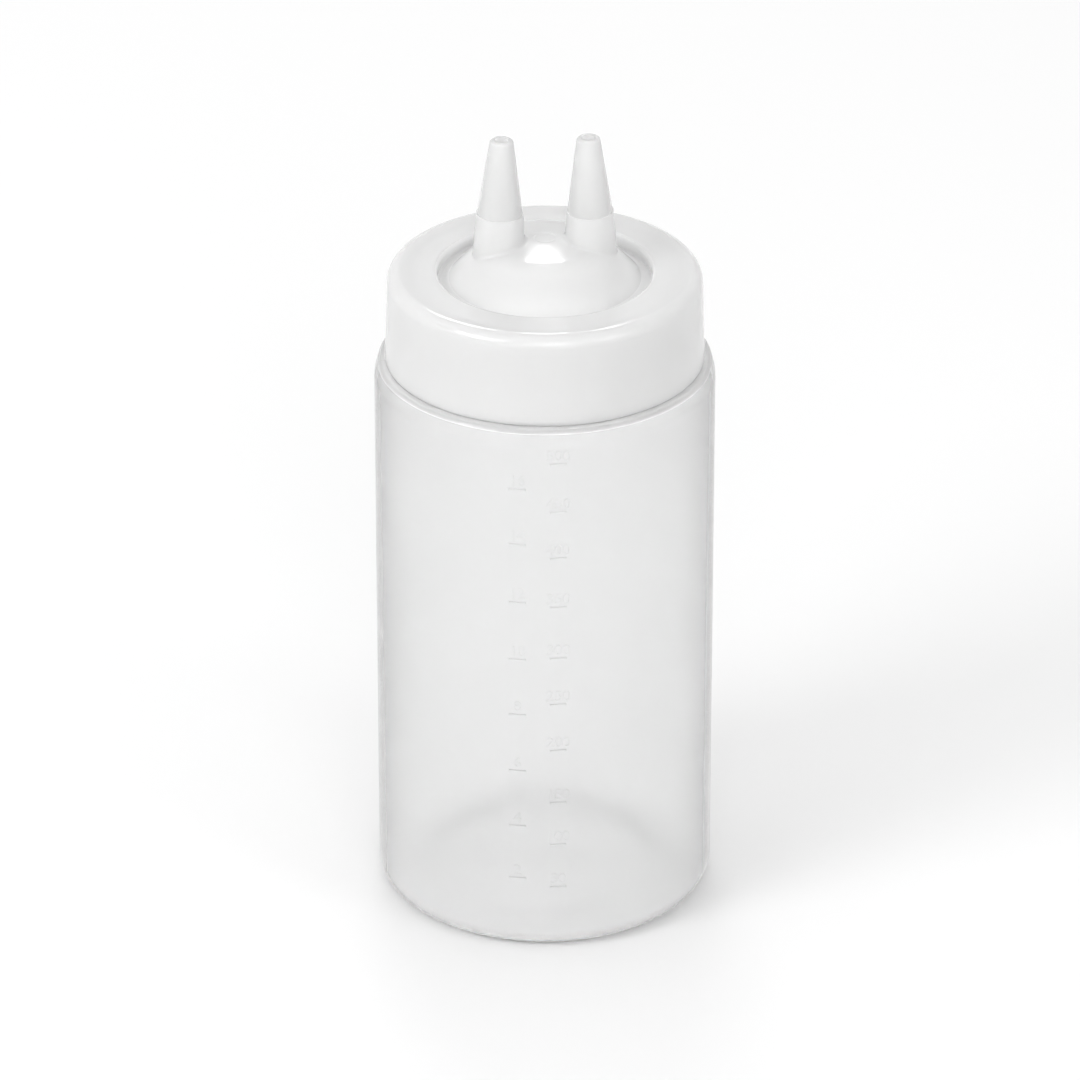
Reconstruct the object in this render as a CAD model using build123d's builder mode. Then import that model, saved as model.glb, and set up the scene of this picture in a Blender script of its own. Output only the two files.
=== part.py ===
# Twin-tip squeeze bottle for sauces: a blow-moulded bottle with a wide neck, and an
# injection-moulded screw cap with a domed top and two hollow pouring tips.
# Millimetres, +Z up. The origin is on the table under the bottle's axis, the two tips
# stand along X, and the front of the bottle faces -Y.
from build123d import *
from math import cos, radians, sin, tan
import os

os.makedirs("parts", exist_ok=True)

# Bottle: body, shoulder and base
body_diameter = 75.0
shoulder_height = 129.5
shoulder_taper_height = 3.6
shoulder_taper = 0.9
shoulder_blend = 6.0
shoulder_round = 1.1
bottle_wall = 1.2
base_corner = 5.0
standing_ring_width = 3.0
base_rise = 1.8
base_rise_run = 5.0
base_blend = 2.0

# Bottle: neck
neck_diameter = 63.2
neck_height = 19.7
neck_root_round = 0.6
neck_lip_round = 0.35

# Cap: skirt and crown
cap_wall = 1.5
thread_room = 2.05
skirt_clearance = 0.3
skirt_draft = 1.8
crown_round = 2.9
rim_round = 0.4

# Cap: recess and dome, with heights from the flat top of the crown
recess_diameter = 47.0
recess_depth = 2.8
recess_edge_round = 1.0
recess_corner_round = 0.5
recess_floor_width = 1.7
dome_foot_round = 2.6
dome_flank_angle = 47.5
dome_shoulder_rise = 6.3
dome_shoulder_round = 9.0
dome_top_diameter = 6.0
dome_top_rise = 7.5
dome_top_round = 14.0

# Cap: sealing ring that plugs the neck
seal_clearance = 0.2
seal_wall = 1.0
seal_depth = 4.0
seal_lead = 0.6

# Cap: pouring tips, with heights along each tip from the flat top of the crown
tip_spacing = 20.3
tip_lean = 1.37
tip_height = 31.2
tip_end_diameter = 5.1
tip_end_round = 0.7
tip_shank_diameter = 9.9
collar_height = 13.9
collar_diameter = 10.3
collar_draft = 3.6
collar_root_round = 0.9
tip_wall = 1.15
outlet_diameter = 3.0
outlet_length = 3.0

# Radii and levels that follow from the sizes above
body_radius = body_diameter / 2
neck_radius = neck_diameter / 2
neck_bore_radius = neck_radius - bottle_wall
neck_top = shoulder_height + neck_height
crown_top = neck_top + cap_wall
rim_bottom = shoulder_height + skirt_clearance
rim_radius = neck_radius + thread_room + cap_wall
skirt_flare = tan(radians(skirt_draft))
crown_radius = rim_radius - (crown_top - rim_bottom) * skirt_flare
dome_foot_radius = recess_diameter / 2 - recess_floor_width
flank_height = recess_depth + dome_shoulder_rise
dome_shoulder_radius = dome_foot_radius - flank_height / tan(radians(dome_flank_angle))
seal_radius = neck_bore_radius - seal_clearance
collar_flare = tan(radians(collar_draft))
collar_foot_radius = collar_diameter / 2 + (collar_height + recess_depth) * collar_flare


def turned_section(outline, rounds):
    """A half section to be turned: points (radius, height) from axis to axis, and their rounds."""
    with BuildSketch() as section:
        with BuildLine():
            FilletPolyline(*outline, radius=rounds)
            Line(outline[-1], outline[0])
        make_face()
    return section.sketch_local


def bottle_section(top):
    """The bottle's outer half section, with the neck drawn up to the height top."""
    ring_outer = body_radius - base_corner
    ring_inner = ring_outer - standing_ring_width
    outline = [
        (0, base_rise),
        (ring_inner - base_rise_run, base_rise),
        (ring_inner, 0),
        (body_radius, 0),
        (body_radius, shoulder_height - shoulder_taper_height),
        (body_radius - shoulder_taper, shoulder_height),
        (neck_radius, shoulder_height),
        (neck_radius, top),
        (0, top),
    ]
    rounds = [
        base_blend,
        base_blend,
        base_corner,
        shoulder_blend,
        shoulder_round,
        neck_root_round,
        0,
    ]
    return turned_section(outline, rounds)


def cap_section(bottom):
    """The cap's outer half section, with the skirt drawn down to the height bottom."""
    outline = [
        (0, crown_top + dome_top_rise),
        (dome_top_diameter / 2, crown_top + dome_top_rise),
        (dome_shoulder_radius, crown_top + dome_shoulder_rise),
        (dome_foot_radius, crown_top - recess_depth),
        (recess_diameter / 2, crown_top - recess_depth),
        (recess_diameter / 2, crown_top),
        (crown_radius, crown_top),
        (crown_radius + (crown_top - bottom) * skirt_flare, bottom),
        (0, bottom),
    ]
    rounds = [
        dome_top_round,
        dome_shoulder_round,
        dome_foot_round,
        recess_corner_round,
        recess_edge_round,
        crown_round,
        0,
    ]
    return turned_section(outline, rounds)


def inside(outer_section, wall):
    """The half section of the space that lies a wall's thickness inside another one."""
    with BuildSketch() as inner:
        add(outer_section)
        mirror(about=Plane.YZ)
        offset(amount=-wall, kind=Kind.INTERSECTION, mode=Mode.REPLACE)
        split(bisect_by=Plane.YZ)
    return inner.sketch_local


def tip_plane(side):
    """The upright plane through a tip's axis, with its own Y up along the leaning tip."""
    lean = radians(tip_lean)
    return Plane(
        origin=(side * tip_spacing / 2, 0, crown_top),
        x_dir=(cos(lean), 0, side * sin(lean)),
        z_dir=(0, -1, 0),
    )


tip_planes = [tip_plane(side) for side in (-1, 1)]

# Sections: each inner one starts from an outer one that runs two walls past the open end
bottle_outside = bottle_section(neck_top)
bottle_inside = inside(bottle_section(neck_top + 2 * bottle_wall), bottle_wall)
cap_outside = cap_section(rim_bottom)
cap_inside = inside(cap_section(rim_bottom - 2 * cap_wall), cap_wall)
tip_outside = turned_section(
    [
        (0, -recess_depth),
        (collar_foot_radius, -recess_depth),
        (collar_diameter / 2, collar_height),
        (tip_shank_diameter / 2, collar_height),
        (tip_end_diameter / 2, tip_height),
        (0, tip_height),
    ],
    [0, 0, 0, tip_end_round],
)
tip_inside = turned_section(
    [
        (0, -recess_depth),
        (collar_foot_radius - tip_wall, -recess_depth),
        (tip_shank_diameter / 2 - tip_wall, collar_height),
        (outlet_diameter / 2, tip_height - outlet_length),
        (outlet_diameter / 2, tip_height),
        (0, tip_height),
    ],
    0,
)

# Bottle: one blown shell of even wall, with a raised base and an open neck
with BuildPart() as bottle:
    with BuildSketch(Plane.YZ):
        add(bottle_outside)
    revolve(axis=Axis.Z)
    with BuildSketch(Plane.YZ):
        add(bottle_inside)
    revolve(axis=Axis.Z, mode=Mode.SUBTRACT)
    fillet(bottle.edges().group_by(Axis.Z)[-1], neck_lip_round)

bottle.part.label = "bottle"
export_step(bottle.part, "parts/bottle.step")

# Core: the space inside the cap, from the open skirt up through both tips
with BuildPart() as core:
    with BuildSketch(Plane.YZ):
        add(cap_inside)
    revolve(axis=Axis.Z)
    for plane in tip_planes:
        with BuildSketch(plane):
            add(tip_inside)
        revolve(axis=Axis(plane.origin, plane.y_dir))

# Cap: crown and tips as one outer form with blended roots, then the core taken out
with BuildPart() as cap:
    with BuildSketch(Plane.YZ):
        add(cap_outside)
    revolve(axis=Axis.Z)
    for plane in tip_planes:
        with BuildSketch(plane):
            add(tip_outside)
        revolve(axis=Axis(plane.origin, plane.y_dir))
    fillet(cap.edges().filter_by(GeomType.BSPLINE), collar_root_round)
    add(core.part, mode=Mode.SUBTRACT)

    # The sealing ring hangs from the underside of the crown, inside the neck
    with BuildSketch(Plane.YZ):
        with BuildLine():
            Polyline(
                (seal_radius - seal_wall, neck_top),
                (seal_radius, neck_top),
                (seal_radius, neck_top - seal_depth + seal_lead),
                (seal_radius - seal_lead, neck_top - seal_depth),
                (seal_radius - seal_wall, neck_top - seal_depth),
                close=True,
            )
        make_face()
    revolve(axis=Axis.Z)

    # Both edges of the skirt's rim
    fillet(cap.edges().filter_by(GeomType.CIRCLE).group_by(Axis.Z)[0], rim_round)

cap.part.label = "cap"
export_step(cap.part, "parts/cap.step")
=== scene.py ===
import bpy
from math import cos, hypot, pi, radians, sin, tan
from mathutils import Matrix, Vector


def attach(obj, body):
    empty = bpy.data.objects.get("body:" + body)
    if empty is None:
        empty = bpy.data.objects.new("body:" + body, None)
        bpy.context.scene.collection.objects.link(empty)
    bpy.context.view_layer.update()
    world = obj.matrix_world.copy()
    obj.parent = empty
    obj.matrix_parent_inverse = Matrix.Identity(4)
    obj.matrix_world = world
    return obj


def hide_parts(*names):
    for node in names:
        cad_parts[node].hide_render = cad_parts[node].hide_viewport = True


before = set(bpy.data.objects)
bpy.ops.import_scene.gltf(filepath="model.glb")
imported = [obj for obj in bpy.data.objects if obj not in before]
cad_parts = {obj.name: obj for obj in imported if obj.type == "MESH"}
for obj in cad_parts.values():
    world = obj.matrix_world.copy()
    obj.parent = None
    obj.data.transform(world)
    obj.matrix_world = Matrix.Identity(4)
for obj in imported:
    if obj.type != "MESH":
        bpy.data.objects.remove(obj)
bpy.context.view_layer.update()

mm = 0.001

# The bottle is one blown shell of natural low-density polyethylene, milky and soft, 1.2 mm thick
# all over. Its round body runs through a short shoulder into a wide neck, and the base is pushed
# up a little so that it stands on a ring.
body_radius = 37.5 * mm
shoulder_height = 129.5 * mm
shoulder_taper_height = 3.6 * mm
shoulder_taper = 0.9 * mm
shoulder_blend = 6.0 * mm
shoulder_round = 1.1 * mm
neck_radius = 31.6 * mm
neck_top = 149.2 * mm
neck_root_round = 0.6 * mm
neck_lip_round = 0.35 * mm
bottle_wall = 1.2 * mm
base_corner = 5.0 * mm
base_rise = 1.8 * mm
base_blend = 2.0 * mm
ring_inner = 29.5 * mm
raised_base_radius = 24.5 * mm
turned_steps = 192
arc_step = radians(9)
smooth_angle = radians(32)


def pick(piece):
    """Selects one object alone and makes it the active one."""
    bpy.ops.object.select_all(action="DESELECT")
    bpy.context.view_layer.objects.active = piece
    piece.select_set(True)


def weld(distance):
    """Merges the active mesh's doubled points and turns its faces outwards."""
    bpy.ops.object.mode_set(mode="EDIT")
    bpy.ops.mesh.select_all(action="SELECT")
    bpy.ops.mesh.remove_doubles(threshold=distance)
    bpy.ops.mesh.normals_make_consistent(inside=False)
    bpy.ops.object.mode_set(mode="OBJECT")


def apply_modifier(piece, kind, **settings):
    """Adds a modifier with its settings and applies it."""
    pick(piece)
    modifier = piece.modifiers.new(kind.lower(), kind)
    for name, value in settings.items():
        setattr(modifier, name, value)
    bpy.ops.object.modifier_apply(modifier=modifier.name)


def rounded(corners):
    """The points of a line through corners (radius, height, round), with arcs in them."""
    points = [Vector(corners[0][:2])]
    for before, corner, after in zip(corners, corners[1:], corners[2:]):
        here = Vector(corner[:2])
        inward = (Vector(before[:2]) - here).normalized()
        onward = (Vector(after[:2]) - here).normalized()
        half = inward.angle(onward) / 2
        if not corner[2]:
            points.append(here)
            continue
        centre = here + (inward + onward).normalized() * corner[2] / sin(half)
        start = here + inward * corner[2] / tan(half) - centre
        sweep = start.angle_signed(here + onward * corner[2] / tan(half) - centre)
        steps = max(3, round(abs(sweep) / arc_step))
        for i in range(steps + 1):
            turn = -sweep * i / steps
            x = start.x * cos(turn) - start.y * sin(turn)
            y = start.x * sin(turn) + start.y * cos(turn)
            points.append(centre + Vector((x, y)))
    return points + [Vector(corners[-1][:2])]


def turn_profile(name, points, steps):
    """Extrudes one point along a profile and spins that once round the upright axis."""
    bpy.ops.object.select_all(action="DESELECT")
    bpy.ops.mesh.primitive_plane_add(size=mm)
    piece = bpy.context.object
    piece.name = name
    bpy.ops.object.mode_set(mode="EDIT")
    bpy.ops.mesh.merge(type="CENTER")
    here = Vector((0, 0))
    for i, point in enumerate(points):
        step = {"value": (point.x - here.x, 0, point.y - here.y)}
        if i == 0:
            bpy.ops.transform.translate(**step)
        else:
            bpy.ops.mesh.extrude_region_move(TRANSFORM_OT_translate=step)
        here = point
    bpy.ops.mesh.select_all(action="SELECT")
    bpy.ops.mesh.spin(steps=steps, angle=2 * pi, center=(0, 0, 0), axis=(0, 0, 1))
    bpy.ops.object.mode_set(mode="OBJECT")
    weld(0.005 * mm)
    return piece


bottle = turn_profile(
    "bottle_shell",
    rounded(
        [
            (0, base_rise, 0),
            (raised_base_radius, base_rise, base_blend),
            (ring_inner, 0, base_blend),
            (body_radius, 0, base_corner),
            (body_radius, shoulder_height - shoulder_taper_height, shoulder_blend),
            (body_radius - shoulder_taper, shoulder_height, shoulder_round),
            (neck_radius, shoulder_height, neck_root_round),
            (neck_radius, neck_top, 0),
        ]
    ),
    turned_steps,
)
apply_modifier(bottle, "SOLIDIFY", thickness=bottle_wall, offset=-1, use_even_offset=True)

# Both edges of the lip are eased: the ones at the top whose ends lie on one circle
bpy.ops.object.mode_set(mode="EDIT")
bpy.ops.mesh.select_mode(type="EDGE")
bpy.ops.mesh.select_all(action="DESELECT")
bpy.ops.object.mode_set(mode="OBJECT")
for edge in bottle.data.edges:
    a, b = (bottle.data.vertices[i].co for i in edge.vertices)
    level = min(a.z, b.z) > neck_top - 0.01 * mm
    edge.select = level and abs(hypot(a.x, a.y) - hypot(b.x, b.y)) < 0.1 * mm
bpy.ops.object.mode_set(mode="EDIT")
bpy.ops.mesh.bevel(offset=neck_lip_round, segments=3)
bpy.ops.object.mode_set(mode="OBJECT")

# The pinch-off, where the mould's halves nipped the hot tube shut, is left as a low ridge across
# the underside of the base, in line with the parting line up both sides.
scar_size = (34 * mm, 0.9 * mm, 1.0 * mm)
scar_height = 1.9 * mm
scar_round = 0.3 * mm


def unite(piece, other):
    """Joins another closed piece into this one, as one skin."""
    apply_modifier(piece, "BOOLEAN", operation="UNION", object=other, solver="MANIFOLD")
    bpy.data.objects.remove(other)


def eased_box(centre, size, corner, segments):
    """A box with its edges eased."""
    bpy.ops.object.select_all(action="DESELECT")
    bpy.ops.mesh.primitive_cube_add(size=1, location=centre)
    box = bpy.context.object
    box.scale = size
    bpy.ops.object.transform_apply(location=True, rotation=True, scale=True)
    bpy.ops.object.mode_set(mode="EDIT")
    bpy.ops.mesh.select_all(action="SELECT")
    bpy.ops.mesh.bevel(offset=corner, segments=segments)
    bpy.ops.object.mode_set(mode="OBJECT")
    return box


unite(bottle, eased_box((0, 0, scar_height), scar_size, scar_round, 3))

# The neck carries a round one-start thread, blown with it, that fades out at both ends. It starts
# half a pitch above the cap's thread, so the two don't touch when the cap is down.
thread_pitch = 5.0 * mm
thread_round = 1.2 * mm
thread_turns = 1.6
thread_points = 121
thread_end_size = 0.15
thread_fade = 12
neck_thread_foot = 135.5 * mm


def wind_thread(name, radius_at, foot):
    """A round thread that winds up from a height on a wall whose radius is radius_at(height)."""
    line = bpy.data.curves.new(name, "CURVE")
    line.dimensions = "3D"
    line.bevel_depth = thread_round
    line.bevel_resolution = 3
    line.use_fill_caps = True
    spline = line.splines.new("POLY")
    spline.points.add(thread_points - 1)
    for i, point in enumerate(spline.points):
        share = i / (thread_points - 1)
        turn = 2 * pi * thread_turns * share
        height = foot + thread_pitch * thread_turns * share
        radius = radius_at(height)
        point.co = (radius * cos(turn), radius * sin(turn), height, 1)
        point.radius = min(1.0, thread_end_size + thread_fade * min(share, 1 - share))
    holder = bpy.data.objects.new(name, line)
    bpy.context.scene.collection.objects.link(holder)
    pick(holder)
    bpy.ops.object.convert(target="MESH")
    weld(0.01 * mm)
    return bpy.context.object


unite(bottle, wind_thread("neck_thread", lambda height: neck_radius, neck_thread_foot))

# Two raised scales are formed by the mould on the front of the wall, short bars with their numbers
# above: fluid ounces on the left, millilitres on the right. The photograph's numbers can't be
# read, so these follow from assumed steps of 2 oz and 50 ml.
bar_rise = 0.16 * mm
bar_sink = 0.4 * mm
bar_height = 0.6 * mm
bar_round = 0.14 * mm
number_size = 3.6 * mm
number_gap = 0.9 * mm
number_round = 0.06 * mm
ounce_azimuth = radians(-13.3)
ounce_bar_width = 3.9 * mm
ounce_step = 2
ounce_heights = (18.33, 31.65, 45.64, 59.77, 73.54, 87.70, 101.99, 115.44)
millilitre_azimuth = radians(0.5)
millilitre_bar_width = 3.7 * mm
millilitre_step = 50
millilitre_heights = (
    16.25, 27.03, 37.75, 50.93, 62.51, 74.02, 86.69, 98.78, 110.05, 121.74
)


def wrap(piece, azimuth):
    """Wraps a flat mark, drawn in XZ about the origin with its face to -Y, round the body."""
    for vertex in piece.data.vertices:
        out = body_radius - vertex.co.y
        turn = azimuth + vertex.co.x / body_radius
        vertex.co = (out * sin(turn), -out * cos(turn), vertex.co.z)


def raise_bar(azimuth, height, width):
    """One graduation: a bar with its edges eased."""
    centre = (0, (bar_sink - bar_rise) / 2, height)
    bar = eased_box(centre, (width, bar_rise + bar_sink, bar_height), bar_round, 2)
    apply_modifier(bar, "SUBSURF", subdivision_type="SIMPLE", levels=1, render_levels=1)
    wrap(bar, azimuth)
    return bar


def raise_number(number, azimuth, height):
    """A number that stands on a height, centred on an azimuth, proud by its eased edge alone."""
    bpy.ops.object.select_all(action="DESELECT")
    bpy.ops.object.text_add(rotation=(radians(90), 0, 0))
    sign = bpy.context.object
    sign.data.body = str(number)
    sign.data.size = number_size
    sign.data.align_x = "CENTER"
    sign.data.align_y = "BOTTOM_BASELINE"
    sign.data.extrude = bar_sink / 2
    sign.data.bevel_depth = number_round
    sign.data.bevel_resolution = 1
    sign.data.resolution_u = 4
    bpy.ops.object.convert(target="MESH")
    sign.location = (0, bar_sink / 2, height)
    bpy.ops.object.transform_apply(location=True, rotation=True, scale=True)
    weld(0.002 * mm)
    wrap(sign, azimuth)
    return sign


for azimuth, width, step, heights in (
    (ounce_azimuth, ounce_bar_width, ounce_step, ounce_heights),
    (millilitre_azimuth, millilitre_bar_width, millilitre_step, millilitre_heights),
):
    for count, height in enumerate(heights, 1):
        unite(bottle, raise_bar(azimuth, height * mm, width))
        unite(bottle, raise_number(step * count, azimuth, height * mm + number_gap))

pick(bottle)
bpy.ops.object.shade_smooth_by_angle(angle=smooth_angle)
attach(bottle, "bottle")
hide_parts("bottle")


def linear(hex_colour):
    """An sRGB hex colour as the linear RGBA that a shader takes."""
    parts = [int(hex_colour[i:i + 2], 16) / 255 for i in (1, 3, 5)]
    return [c / 12.92 if c <= 0.04045 else ((c + 0.055) / 1.055) ** 2.4 for c in parts] + [1.0]


def put(tree, kind, values=None, links=None, **settings):
    """Adds a node with its settings, its sockets' values and the sockets that feed it."""
    node = tree.nodes.new(kind)
    for name, value in settings.items():
        setattr(node, name, value)
    for name, value in (values or {}).items():
        node.inputs[name].default_value = value
    for name, source in (links or {}).items():
        tree.links.new(source, node.inputs[name])
    return node


def bare_tree(owner):
    """The emptied node tree of a material or a world."""
    owner.use_nodes = True
    owner.node_tree.nodes.clear()
    return owner.node_tree


def in_other_thickness(plastic, name, clearness, colour):
    """A copy of the plastic with another clearness and colour, used both for walls of another
    thickness and for painted light and shade.
    """
    other = plastic.copy()
    other.name = name
    for node in other.node_tree.nodes:
        if node.type == "BSDF_PRINCIPLED":
            node.inputs["Transmission Weight"].default_value = clearness
            node.inputs["Base Color"].default_value = linear(colour)
    return other


# Blow-moulded LDPE: milky on both faces of the wall, lets most light through softly, satin with a
# faint orange peel, and a fine parting line where the mould's halves met.
ldpe_ior = 1.51
ldpe_white = "#FDFDFD"
seam_width = 0.25 * mm
blown = bpy.data.materials.new("blow_moulded_ldpe")
tree = bare_tree(blown)
where = put(tree, "ShaderNodeTexCoord").outputs["Object"]
swell = put(tree, "ShaderNodeTexNoise", {"Scale": 45.0, "Detail": 2.0}, {"Vector": where})
peel = put(tree, "ShaderNodeTexNoise", {"Scale": 900.0, "Detail": 3.0}, {"Vector": where})
satin = put(
    tree,
    "ShaderNodeMapRange",
    {"From Min": 0.3, "From Max": 0.7, "To Min": 0.16, "To Max": 0.2},
    {"Value": swell.outputs["Fac"]},
)
low = put(
    tree,
    "ShaderNodeBump",
    {"Strength": 0.08, "Distance": 0.4 * mm},
    {"Height": swell.outputs["Fac"]},
)
fine = put(
    tree,
    "ShaderNodeBump",
    {"Strength": 0.05, "Distance": 0.05 * mm},
    {"Height": peel.outputs["Fac"], "Normal": low.outputs["Normal"]},
)
across = put(tree, "ShaderNodeSeparateXYZ", links={"Vector": where}).outputs["Y"]
across = put(tree, "ShaderNodeMath", links={0: across}, operation="ABSOLUTE").outputs["Value"]
seam = put(
    tree,
    "ShaderNodeMapRange",
    {"From Min": 0.0, "From Max": seam_width, "To Min": 1.0, "To Max": 0.0},
    {"Value": across},
    interpolation_type="SMOOTHSTEP",
)
parting = put(
    tree,
    "ShaderNodeBump",
    {"Strength": 0.6, "Distance": 0.08 * mm},
    {"Height": seam.outputs["Result"], "Normal": fine.outputs["Normal"]},
)
plastic = put(
    tree,
    "ShaderNodeBsdfPrincipled",
    {
        "Base Color": linear(ldpe_white),
        "IOR": ldpe_ior,
        "Transmission Weight": 0.86,
        "Subsurface Weight": 1.0,
        "Subsurface Radius": (1.0, 1.0, 1.0),
        "Subsurface Scale": 1.2 * mm,
    },
    {"Roughness": satin.outputs["Result"], "Normal": parting.outputs["Normal"]},
)
put(tree, "ShaderNodeOutputMaterial", links={"Surface": plastic.outputs["BSDF"]})

# The top of the shoulder and the whole neck are a milkier copy of the plastic: partly because the
# real neck is blown thicker, partly as painted light that keeps the gap under the cap's rim from
# going dark.
milky_from = 128.2 * mm
bottle.data.materials.clear()
bottle.data.materials.append(blown)
bottle.data.materials.append(
    in_other_thickness(blown, "blow_moulded_ldpe_thick_and_painted_light", 0.58, ldpe_white)
)
for face in bottle.data.polygons:
    face.material_index = 1 if face.center.z > milky_from else 0

# The cap is one injection moulding of the same plastic: the skirt, the flat top with its recess,
# the dome and both pouring tips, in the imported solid's own form. Its inner thread is wound on
# here, and it screws onto the neck.
skirt_inside_foot = (33.65 * mm, 129.8 * mm)
skirt_draft = radians(1.8)
cap_thread_foot = 133.0 * mm
pick(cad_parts["cap"])
bpy.ops.object.duplicate()
cap = bpy.context.object
cap.name = "cap_moulding"
bpy.ops.mesh.customdata_custom_splitnormals_clear()
bpy.ops.object.mode_set(mode="EDIT")
bpy.ops.mesh.select_mode(type="EDGE")
bpy.ops.mesh.select_all(action="SELECT")
bpy.ops.mesh.remove_doubles(threshold=0.001 * mm)
bpy.ops.mesh.mark_sharp(clear=True)
bpy.ops.object.mode_set(mode="OBJECT")


def skirt_inside(height):
    """The radius of the skirt's inner face at a height."""
    radius, foot = skirt_inside_foot
    return radius - (height - foot) * tan(skirt_draft)


unite(cap, wind_thread("cap_thread", skirt_inside, cap_thread_foot))
pick(cap)
bpy.ops.object.shade_smooth_by_angle(angle=smooth_angle)
apply_modifier(cap, "WEIGHTED_NORMAL", keep_sharp=True)
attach(cap, "cap")
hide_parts("cap")

# Injection-moulded LDPE: milkier than the wall and glossy from a polished mould, with faint flow
# waves and a small sunk gate mark in the middle of the dome.
gate_radius = 2.1 * mm
gate_edge_radius = 2.7 * mm
moulded = bpy.data.materials.new("injection_moulded_ldpe")
tree = bare_tree(moulded)
where = put(tree, "ShaderNodeTexCoord").outputs["Object"]
flow = put(tree, "ShaderNodeTexNoise", {"Scale": 60.0, "Detail": 2.0}, {"Vector": where})
gloss = put(
    tree,
    "ShaderNodeMapRange",
    {"From Min": 0.3, "From Max": 0.7, "To Min": 0.11, "To Max": 0.15},
    {"Value": flow.outputs["Fac"]},
)
wave = put(
    tree,
    "ShaderNodeBump",
    {"Strength": 0.05, "Distance": 0.2 * mm},
    {"Height": flow.outputs["Fac"]},
)
flat = put(tree, "ShaderNodeVectorMath", {1: (1.0, 1.0, 0.0)}, {0: where}, operation="MULTIPLY")
away = put(tree, "ShaderNodeVectorMath", links={0: flat.outputs["Vector"]}, operation="LENGTH")
dimple = put(
    tree,
    "ShaderNodeMapRange",
    {"From Min": gate_radius, "From Max": gate_edge_radius},
    {"Value": away.outputs["Value"]},
    interpolation_type="SMOOTHSTEP",
)
gate = put(
    tree,
    "ShaderNodeBump",
    {"Strength": 1.0, "Distance": 0.12 * mm},
    {"Height": dimple.outputs["Result"], "Normal": wave.outputs["Normal"]},
)
plastic = put(
    tree,
    "ShaderNodeBsdfPrincipled",
    {
        "Base Color": linear(ldpe_white),
        "IOR": ldpe_ior,
        "Transmission Weight": 0.37,
        "Subsurface Weight": 1.0,
        "Subsurface Radius": (1.0, 1.0, 1.0),
        "Subsurface Scale": 3.0 * mm,
    },
    {"Roughness": gloss.outputs["Result"], "Normal": gate.outputs["Normal"]},
)
put(tree, "ShaderNodeOutputMaterial", links={"Surface": plastic.outputs["BSDF"]})

# The tips above their collars are clearer, and their greyer colour is painted shade. The recess
# round the dome's foot is milkier, as painted light against the shade in the recess.
shanks_from = 164.7 * mm
foot_radii = (21.0 * mm, 24.0 * mm)
foot_heights = (147.0 * mm, 150.6 * mm)
cap.data.materials.clear()
cap.data.materials.append(moulded)
for name, clearness, colour in (
    ("injection_moulded_ldpe_tips", 0.45, "#F3F3F3"),
    # The recess copy is milkier: painted light that lightens the shade round the dome's foot.
    ("injection_moulded_ldpe_painted_light_recess", 0.27, ldpe_white),
):
    cap.data.materials.append(in_other_thickness(moulded, name, clearness, colour))
for face in cap.data.polygons:
    reach, height = hypot(face.center.x, face.center.y), face.center.z
    if height > shanks_from:
        face.material_index = 1
    elif foot_radii[0] < reach < foot_radii[1] and foot_heights[0] < height < foot_heights[1]:
        face.material_index = 2
    else:
        face.material_index = 0

# The floor is white paper, lit like paper to the camera so that it keeps the object's shadow. To
# glossy and transmission rays it is mostly plain white. It lies just under the standing ring.
floor_size = 6.0
floor_drop = 0.03 * mm
plain_share = 0.85
white_strength = 1.0
bpy.ops.object.select_all(action="DESELECT")
bpy.ops.mesh.primitive_plane_add(size=floor_size, location=(0, 0, -floor_drop))
floor = bpy.context.object
floor.name = "floor"
paper = bpy.data.materials.new("white_paper")
tree = bare_tree(paper)
matt = put(
    tree,
    "ShaderNodeBsdfPrincipled",
    {"Base Color": linear("#E9E9E9"), "Roughness": 0.9, "Specular IOR Level": 0.1},
)
path = put(tree, "ShaderNodeLightPath").outputs
bounced = put(
    tree,
    "ShaderNodeMath",
    links={0: path["Is Glossy Ray"], 1: path["Is Transmission Ray"]},
    operation="MAXIMUM",
)
share = put(tree, "ShaderNodeMath", {1: plain_share}, {0: bounced.outputs[0]}, operation="MULTIPLY")
plain = put(
    tree,
    "ShaderNodeEmission",
    {"Color": linear("#FFFFFF"), "Strength": white_strength},
)
shown = put(
    tree,
    "ShaderNodeMixShader",
    links={0: share.outputs[0], 1: matt.outputs["BSDF"], 2: plain.outputs["Emission"]},
)
put(tree, "ShaderNodeOutputMaterial", links={"Surface": shown.outputs["Shader"]})
floor.data.materials.append(paper)

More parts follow.
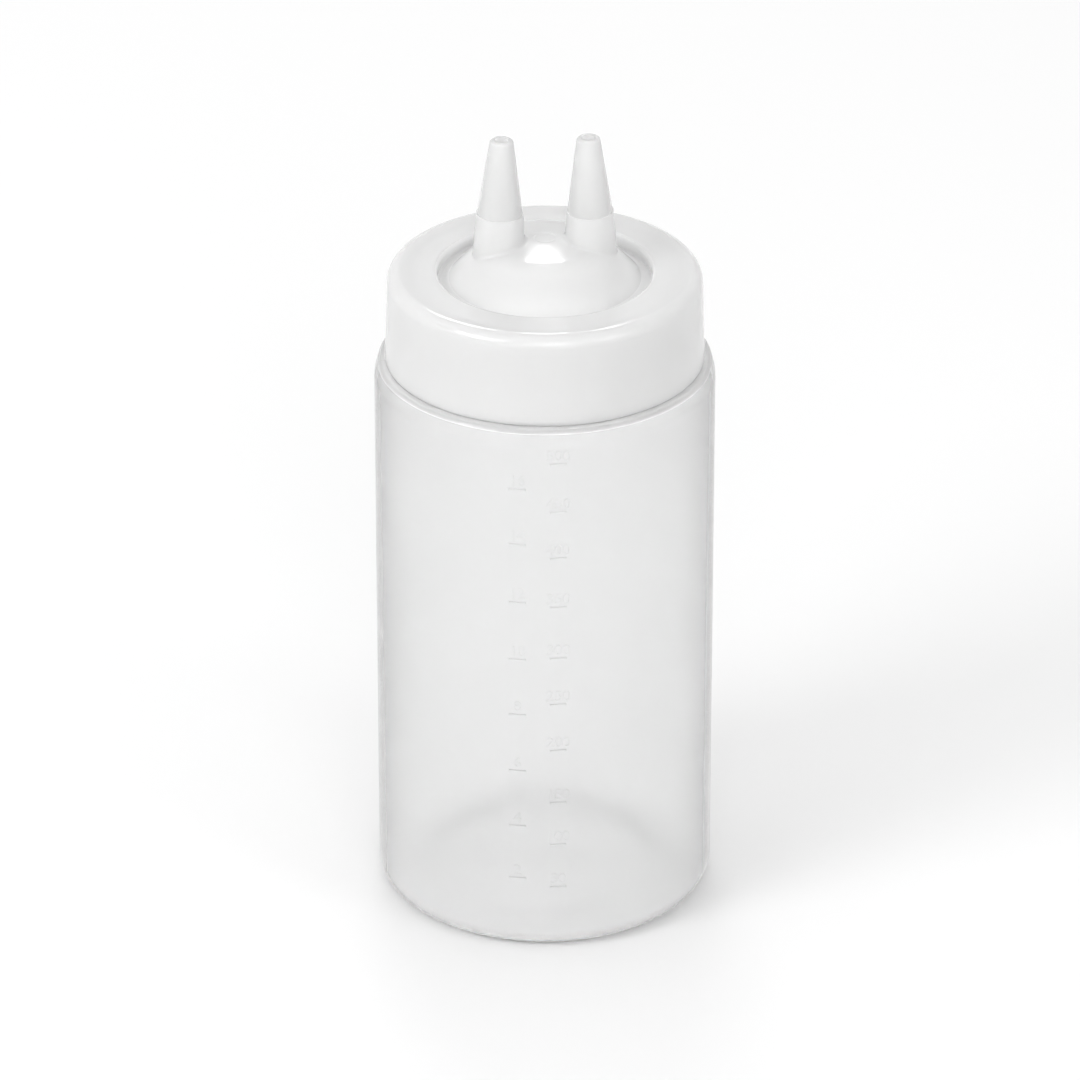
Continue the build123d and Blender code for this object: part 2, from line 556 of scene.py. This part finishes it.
# The studio round it: an even, slightly grey room light on the object, and plain white behind it
# to the camera and in what the plastic mirrors and lets through.
room_strength = 0.84
world = bpy.data.worlds.new("studio")
bpy.context.scene.world = world
tree = bare_tree(world)
path = put(tree, "ShaderNodeLightPath").outputs
seen = put(
    tree,
    "ShaderNodeMath",
    links={0: path["Is Camera Ray"], 1: path["Is Glossy Ray"]},
    operation="MAXIMUM",
)
seen = put(
    tree,
    "ShaderNodeMath",
    links={0: seen.outputs[0], 1: path["Is Transmission Ray"]},
    operation="MAXIMUM",
)
room = put(
    tree,
    "ShaderNodeBackground",
    {"Color": linear("#FFFFFF"), "Strength": room_strength},
)
white = put(
    tree,
    "ShaderNodeBackground",
    {"Color": linear("#FFFFFF"), "Strength": white_strength},
)
mix = put(
    tree,
    "ShaderNodeMixShader",
    links={0: seen.outputs[0], 1: room.outputs[0], 2: white.outputs[0]},
)
put(tree, "ShaderNodeOutputWorld", links={"Surface": mix.outputs[0]})

# Five soft lamps, each with its place and size in metres and its power in watts
lamp_target = Vector((0, 0, 0.09))
for name, place, size, power in (
    ("softbox_back", (0.0, 0.92, 1.02), (0.5, 0.2), 2.6),
    ("softbox_left", (-0.98, -0.6, 0.85), (0.6, 0.6), 6.5),
    ("softbox_front", (0.05, -1.3, 0.85), (0.8, 0.8), 5.0),
    ("spot_left", (-0.75, -0.9, 0.95), (0.1, 0.1), 0.5),
    ("softbox_right", (0.95, -0.85, 0.85), (0.4, 0.4), 2.0),
):
    lamp = bpy.data.lights.new(name, "AREA")
    lamp.shape = "ELLIPSE"
    lamp.size, lamp.size_y = size
    lamp.energy = power
    holder = bpy.data.objects.new(name, lamp)
    bpy.context.scene.collection.objects.link(holder)
    holder.location = place
    holder.rotation_euler = (lamp_target - Vector(place)).to_track_quat("-Z", "Y").to_euler()

# The camera stands where the photograph's did: 1.68 m off, 27.8 degrees up, with a long lens.
camera_turn = radians(-4.0)
camera_rise = radians(27.779)
camera_distance = 1.6829
camera_aim = Vector((-1.069, 0.075, 83.736)) * mm
back = Vector((
    sin(camera_turn) * cos(camera_rise),
    -cos(camera_turn) * cos(camera_rise),
    sin(camera_rise),
))
lens = bpy.data.cameras.new("camera")
lens.lens = 252.107
lens.sensor_width = 36.0
lens.clip_start = 0.05
camera = bpy.data.objects.new("camera", lens)
bpy.context.scene.collection.objects.link(camera)
camera.location = camera_aim + back * camera_distance
camera.rotation_euler = back.to_track_quat("Z", "Y").to_euler()
bpy.context.scene.camera = camera
bpy.context.scene.view_settings.view_transform = "Standard"

bpy.context.view_layer.update()
